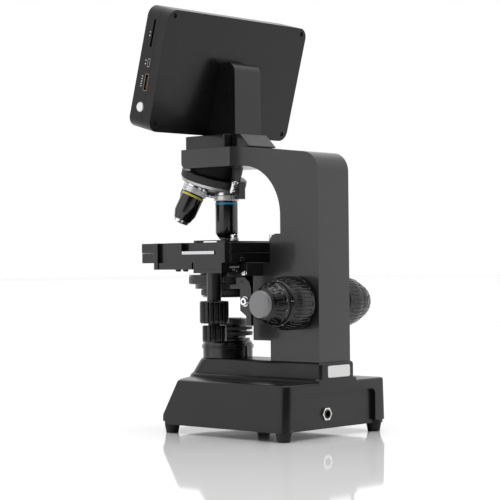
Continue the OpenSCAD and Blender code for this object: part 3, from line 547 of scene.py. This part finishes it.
def objective(name, k, ring_mat, body_end, tip_r, total, tip_start, mouth):
    """The k-th objective. Where a mouth radius is given, its tip is a piece of its own."""
    at = on_port(k) @ turn(180, "X")
    p = Piece(name, GLOSS, CHROME, ring_mat, RING)
    p.add(revolve([(3.6, -4), (10.0, -4), (10.1, 0), (10.8, 0), (11.0, 0.2), (11.0, 1.5),
                   (10.7, 1.75)], 72), at, 1)
    knurl = [(10.7, 1.7), (11.3, 1.85), (11.6, 2.2), (11.6, 6.5), (11.3, 6.85), (10.2, 7.0)]
    p.add(revolve(refine(knurl, 0.6), 360, ribs(40, 0.6, 0.42, 2.0, 6.7)), at, 3)
    p.add(revolve([(10.2, 7.0), (10.2, 8.3), (10.5, 8.45)], 72), at, 0)
    p.add(revolve([(10.5, 8.45), (10.58, 8.5), (10.58, 10.3), (10.5, 10.35)], 72), at, 2)
    barrel = [(10.5, 10.35), (10.5, body_end - 0.8), (10.3, body_end),
              (tip_r + 0.6, tip_start - 0.3), (tip_r, tip_start)]
    p.add(revolve(barrel, 72), at, 0)
    if mouth:
        tail = [(tip_r, tip_start), (tip_r, total - 0.4), (tip_r - 0.3, total), (mouth, total),
                (mouth, total - 5)]
        p.add(revolve(tail, 72), at, 0)
        p.add(revolve([(mouth, total - 5), (3.6, total - 5), (3.6, -4)], 72), at, 0)
    else:
        tail = [(tip_r, tip_start), (tip_r - 0.1, total - 1.2), (tip_r - 1.0, total - 0.3),
                (tip_r - 1.6, total), (4.4, total), (3.9, total - 0.8), (3.6, total - 0.9)]
        p.add(revolve(tail, 72), at, 1)
        p.add(revolve([(3.6, total - 0.9), (3.6, -4)], 72), at, 0)
    return p.make("nosepiece", "objective_black", name.replace("_barrel", ""), sharp=40)


objective("objective_4x_barrel", 2, RED, 17, 8, 27, 23.5, None)
objective("objective_10x_barrel", 1, YELLOW, 27, 7.2, 37, 34.0, None)
for name, k, ring_mat in (("objective_40x_barrel", 0, BLUE), ("objective_100x_barrel", 3, WHITE)):
    objective(name, k, ring_mat, PARFOCAL - 7, 7.6, PARFOCAL - 2.2, PARFOCAL - 3.6, 6.7)
for k, name in ((0, "tip_40x"), (3, "tip_100x")):
    at = on_port(k) @ turn(180, "X") @ move(0, 0, PARFOCAL)
    tip = Piece(f"sprung_{name}", CHROME, LENS)
    tip.add(revolve([(1.6, -0.5), (1.9, -0.15), (3.9, 0), (4.4, -0.2), (5.3, -0.9), (6.3, -1.7),
                     (6.6, -2.1), (6.6, -3.4), (3.52, -3.4), (3.52, -10), (1.6, -10)], 64,
                    loop=True), at)
    tip.add(revolve([(0, -0.28), (0.9, -0.34), (1.62, -0.5), (1.62, -1.2), (0, -1.2)], 40), at, 1)
    tip.make(name, "chrome_tip", f"objective_{name[4:]}_tip")

# ---------------------------------------------------------------- turret and its click spring

grip = Piece("turret_grip", PLASTIC)
profile = refine([(30.6, 7.0), (31.15, 7.4), (31.15, 12.4), (30.6, 12.8)], 1.4)
grip.add(revolve(profile, 480, ribs(120, 0.3, 0.6, 7.3, 12.5)), NOSEPIECE)
grip.make("nosepiece", "nosepiece_black")
band = Piece("turret_band", SATIN)
band.add(revolve([(29.0, 3.2), (29.65, 3.4), (30.1, 5.9), (29.6, 6.3)], 96), NOSEPIECE)
band.make("nosepiece", "bright_steel")
click = Piece("click_spring", CHROME, BLACK_OXIDE, PLASTIC)
leaf = NOSEPIECE @ move(5.5, 32.65, 9.8) @ turn(-90, "X")
click.add(prism(rectangle(-4.1, -5.9, 4.1, 5.9, 1.2), 0, 0.5, 0.12), leaf)
rivet = leaf @ move(0, -1.2, 0)
click.add(revolve([(0, 0.5), (1.5, 0.5), (1.75, 0.75), (2.3, 0.75), (2.5, 0.5)], 28), rivet)
click.add(prism(circle(1.5, 24), 0.5, 0.58), rivet, 1)
click.add(revolve([(0, 1.9), (0.9, 1.75), (1.5, 1.2), (1.75, 0.5), (1.75, 0.2)], 28),
          leaf @ move(0, 3.6, 0))
for x in (-2.6, 2.6):
    screw(click, leaf @ move(x * 0.75, -4.4, 0.5), 1.2, 1.0, 0.5)
click.make("stand", "bright_steel")

# ---------------------------------------------------------------- stage drive

DRIVE = move(57, 1, 0)
for name, body, node_name, r, z0, z1, n in (
        ("drive_grip_y", "knob_y", "stage_knob_y", 13.0, 100.3, 120.1, 17),
        ("drive_grip_x", "knob_x", "stage_knob_x", 10.75, 83.7, 98.5, 14)):
    profile = [(0 if body == "knob_x" else 2.05, z0), (r - 1.0, z0), (r - 0.3, z0 + 0.4),
               (r, z0 + 1.2), (r, z1 - 1.2), (r - 0.3, z1 - 0.4), (r - 1.0, z1)]
    if body == "knob_x":
        profile += [(5.5, z1), (5.5, z1 + 1.6), (2.0, z1 + 1.6), (2.0, 149.7), (0, 149.7)]
    else:
        profile += [(3.0, z1), (3.0, 148.3), (2.05, 148.3)]
    knob = Piece(name, KNOB)
    flutes = ribs(n, 0.9, 0.34, z0 - 0.1, z1 + 0.1)
    knob.add(revolve(refine(profile, 2.0), n * 18, flutes, loop=body == "knob_y"), DRIVE)
    knob.make(body, "knob_black", node_name, sharp=50)

# ---------------------------------------------------------------- condenser and lamp

field = Piece("field_grip", LAMP)
outline = [(14.45, 84.6), (17.0, 84.6), (17.0, 86.7), (22.8, 86.8), (23.4, 87.3), (23.4, 90.0),
           (22.9, 90.5), (18.2, 90.7), (18.2, 92.0), (22.8, 92.1), (23.2, 92.5), (23.2, 94.7),
           (22.7, 95.1), (18.0, 95.3), (18.0, 102.0), (17.5, 102.6), (14.45, 102.6)]


def field_knurl(a, r, z):
    """Fine ribs on the ring's two flanges, coarser ones on its collar."""
    if r > 22.9:
        return ribs(110, 0.35, 0.6)(a, r, z)
    return ribs(60, 0.3, 0.5, 96.2, 101.6)(a, r, z) if 17.9 < r < 18.1 else 0.0


field.add(revolve(refine(outline, 0.8), 660, field_knurl, loop=True), ON_AXIS)
field.make("field", "lamp_black", "field_ring")

trim = Piece("lamp_trim", LAMP)
for z in (75.6, 77.4):
    trim.add(revolve([(24.0, z - 0.5), (24.5, z - 0.3), (24.5, z + 0.3), (24.0, z + 0.5)], 96),
             ON_AXIS)
trim.add(revolve([(0, 66.4), (2.6, 66.4), (2.9, 66.8), (2.9, 76.6), (2.5, 77.2), (0, 77.3)], 36),
         ON_AXIS @ turn(88, "Z") @ move(22.9, 0, 0), 0)
trim.make("stand", "lamp_black", sharp=30)

collar = Piece("condenser_collar", LAMP, CHROME, BLACK_OXIDE)
profile = refine([(24.0, 124.2), (24.6, 124.6), (24.6, 128.8), (24.0, 129.2)], 1.0)
collar.add(revolve(profile, 480, ribs(96, 0.35, 0.55)), ON_AXIS)
collar.add(revolve([(24.1, 123.4), (22.6, 122.4), (22.0, 122.4), (22.0, 124.2), (24.0, 124.2)],
                   96), ON_AXIS)
clamp = move(20.0, 4.5, 118.9) @ turn(90, "Y")
screw(collar, clamp, 3.75, 2.8, 1.6, mat=1, dark=2)
collar.add(revolve([(0, 0.0), (4.6, 0.0), (4.6, 0.5), (3.9, 0.6)], 40), clamp, 1)
screw(collar, move(20.0, 0.6, 137.1) @ turn(90, "Y"), 1.2, 0.25, 0.7, mat=2, dark=2)
collar.make("condenser", "condenser_black")

rim = Piece("iris_rim", LAMP)
profile = refine([(35.2, 135.4), (35.85, 135.8), (35.85, 141.2), (35.2, 141.6)], 1.0)
rim.add(revolve(profile, 720, ribs(144, 0.3, 0.55)), ON_AXIS)
rim.make("condenser", "condenser_black")

# ---------------------------------------------------------------- stage fittings

for i, x in enumerate((-20, 31.7)):
    at = move(x, 3, 174.0)
    thumb = Piece(f"slide_holder_screw_{i + 1}", RING, CHROME)
    profile = refine([(0, 0), (3.4, 0), (3.8, 0.3), (3.8, 2.5), (3.4, 2.8), (3.0, 2.9)], 0.6)
    thumb.add(revolve(profile, 160, ribs(32, 0.35, 0.5, 0.25, 2.6)), at)
    crown = [(3.0, 2.9), (3.0, 3.5), (3.4, 3.7), (3.4, 5.6), (3.0, 6.0), (0, 6.0)]
    thumb.add(revolve(crown, 48), at, 1)
    thumb.make("holder", "clip_steel", *(("slide_holder_screws",) if i == 0 else ()))

SCALE_STEP, INK_WIDTH, INK_Y0, INK_Y1 = 1.25, 0.6, 21.0, 21.08
marks = Piece("stage_marks", WHITE_INK)
for i in range(10):
    x = 45.6 + i * SCALE_STEP
    marks.add(box(x, INK_Y0, 149.6, x + INK_WIDTH, INK_Y1, 151.2 if i % 5 else 151.7))
for x, z in ((51.0, 147.4), (53.0, 147.4), (48.2, 146.2)):
    marks.add(box(x, INK_Y0, z, x + INK_WIDTH, INK_Y1, z + 1.3))
marks.make("stage", "stage_black")
fit = Piece("stage_fittings", BLACK_OXIDE, GLOSS)
for y in (-36.6, -27.2):
    fit.add(revolve([(0, -1.9), (1.8, -1.8), (2.5, -1.1), (2.6, 0)], 28), move(64.5, y, 148.5))
button = move(46.4, 25, 157) @ turn(-90, "X")
fit.add(revolve([(1.0, 1.4), (1.6, 1.35), (2.3, 0.8), (2.5, 0), (0, 0), (0, 0.5), (1.0, 0.5)], 32),
        button, 1)
fit.make("stage", "stage_black")
pin = Piece("stop_pin", CHROME)
profile = [(0, 0.8), (1.0, 0.8), (1.0, 1.6), (1.8, 1.6), (2.2, 1.2), (2.2, 0), (2.6, -0.2)]
pin.add(revolve(profile, 28), move(43, 25.3, 144.9) @ turn(90, "Y"))
pin.make("focus", "screw_steel")

sets = Piece("set_screws", BLACK_OXIDE, PLASTIC)
screw(sets, move(21.1, 39.7, 144.7) @ turn(90, "Y"), 1.2, 0.15, 0.7)
sets.make("stand", "black_screws")

# ---------------------------------------------------------------- screen fittings

ports = Piece("port_rims", SATIN, COPPER, PORT, WHITE_INK)


RIM_WIDTH = 0.35


def port_rim(y0, z0, y1, z1, mat):
    """The bent metal edge round a port, on the screen's side face."""
    x0, x1 = 92.6, 93.08
    width = RIM_WIDTH
    for a in ((y0, z0, y1, z0 + width), (y0, z1 - width, y1, z1),
              (y0, z0 + width, y0 + width, z1 - width),
              (y1 - width, z0 + width, y1, z1 - width)):
        ports.add(box(x0, a[0], a[1], x1, a[2], a[3]), ON_SCREEN, mat)


port_rim(-16.2, 56.2, -13.4, 63.8, 0)
port_rim(-16.1, 34.7, -11.5, 49.9, 1)
ports.add(box(88, -14.3, 37.0, 92.2, -13.2, 47.6, 0.2), ON_SCREEN, 2)
for i in range(7):
    ports.add(box(89, -14.45, 37.8 + i * 1.35, 92.0, -14.28, 38.3 + i * 1.35), ON_SCREEN, 1)
ports.add(box(88, -15.2, 57.6, 92.2, -14.5, 62.4, 0.15), ON_SCREEN, 2)
ports.add(revolve([(3.95, 92.7), (4.5, 92.7), (4.5, 93.1), (4.3, 93.3), (3.95, 93.3)], 48),
          ON_SCREEN @ move(0, -15.6, 19.4) @ turn(90, "Y"), 0)
for y, low, high, count in ((-20.3, 38.0, 47.0, 5), (-19.5, 58.4, 61.6, 2),
                            (-20.3, 84.0, 87.2, 2)):
    for i in range(count):
        z = low + (high - low) * i / (count - 1)
        ports.add(box(92.9, y, z - 0.4, 93.07, y + 1.3, z + 0.4), ON_SCREEN, 3)
ports.make("stand", "port_metal")

# ---------------------------------------------------------------- studio

FLOOR_SIZE = 30.0
floor_mat = finish("floor", (0.94, 0.94, 0.94), 0.06, ior=1.75, vary=0.005, rough_vary=0.004,
                   grain=5, depth=0.00001, strength=0.0, patch=0.5)
floor_mesh = bpy.data.meshes.new("floor")
floor_mesh.from_pydata([(x * FLOOR_SIZE / 2, y * FLOOR_SIZE / 2, 0)
                        for x, y in ((-1, -1), (1, -1), (1, 1), (-1, 1))], [], [(0, 1, 2, 3)])
floor = bpy.data.objects.new("floor", floor_mesh)
bpy.context.scene.collection.objects.link(floor)
paint(floor, floor_mat)

# Degrees round the vertical from the camera's bearing, and how bright the surround is there.
STUDIO = ((-180, 1.0), (180, 1.0), (-150, 1.0), (-125, 0.5), (-100, 0.6), (-92, 1.25),
          (-38, 1.3), (-24, 0.06), (0, 0.02), (40, 0.02), (66, 0.15), (78, 1.15), (112, 1.1),
          (128, 0.5), (150, 1.0))
RAMP_TOP = 2.0           # a colour ramp holds up to 1, so levels are halved in it
SKY_LIGHT = 1.35
SKY_BLEND = (0.45, 0.85)  # the sine of the heights where the surround turns into the sky
TOWARDS_CAMERA = (0.733, 0.680, 0.0)
LEFT_OF_CAMERA = (-0.680, 0.733, 0.0)


def studio_world():
    """White where the camera sees it. It lights from both sides and above, and is dark
    on the near side."""
    world = bpy.data.worlds.new("studio")
    world.use_nodes = True
    tree = world.node_tree
    place = node(tree, "ShaderNodeTexCoord").outputs["Generated"]

    def along(direction):
        """How far the view direction runs along a direction."""
        n = node(tree, "ShaderNodeVectorMath", operation="DOT_PRODUCT")
        n.inputs[1].default_value = direction
        tree.links.new(place, n.inputs[0])
        return n.outputs["Value"]

    def maths(operation, first, second):
        n = node(tree, "ShaderNodeMath", operation=operation)
        for i, value in enumerate((first, second)):
            if isinstance(value, (int, float)):
                n.inputs[i].default_value = value
            else:
                tree.links.new(value, n.inputs[i])
        return n.outputs[0]

    bearing = maths("ARCTAN2", along(LEFT_OF_CAMERA), along(TOWARDS_CAMERA))
    ramp = node(tree, "ShaderNodeValToRGB")
    tree.links.new(remap(tree, bearing, 0.0, 1.0, -math.pi, math.pi), ramp.inputs["Fac"])
    stops = ramp.color_ramp.elements
    for k, (angle, level) in enumerate(STUDIO):
        stop = stops[k] if k < 2 else stops.new(angle / 360 + 0.5)
        stop.position = angle / 360 + 0.5
        stop.color = (*[level / RAMP_TOP] * 3, 1)
    height = remap(tree, along((0, 0, 1)), 0.0, 1.0, *SKY_BLEND)
    level = maths("MULTIPLY", ramp.outputs["Color"], RAMP_TOP)
    level = maths("ADD", maths("MULTIPLY", level, maths("SUBTRACT", 1.0, height)),
                  maths("MULTIPLY", height, SKY_LIGHT))
    seen = node(tree, "ShaderNodeLightPath").outputs["Is Camera Ray"]
    level = maths("MAXIMUM", level, seen)
    tree.nodes["Background"].inputs["Color"].default_value = (1, 1, 1, 1)
    tree.links.new(level, tree.nodes["Background"].inputs["Strength"])
    bpy.context.scene.world = world


studio_world()
bpy.context.scene.view_settings.view_transform = "Standard"


TOP_SPOT, TOP_TARGET, TOP_SIZE, TOP_POWER = (0.1, 0.2, 1.6), (0, 0, 0.2), 1.2, 9
top_light = bpy.data.lights.new("top", "AREA")
top_light.shape = "SQUARE"
top_light.size = TOP_SIZE
top_light.energy = TOP_POWER
top = bpy.data.objects.new("top", top_light)
top.location = TOP_SPOT
top.rotation_euler = (Vector(TOP_TARGET) - Vector(TOP_SPOT)).to_track_quat("-Z", "Y").to_euler()
bpy.context.scene.collection.objects.link(top)
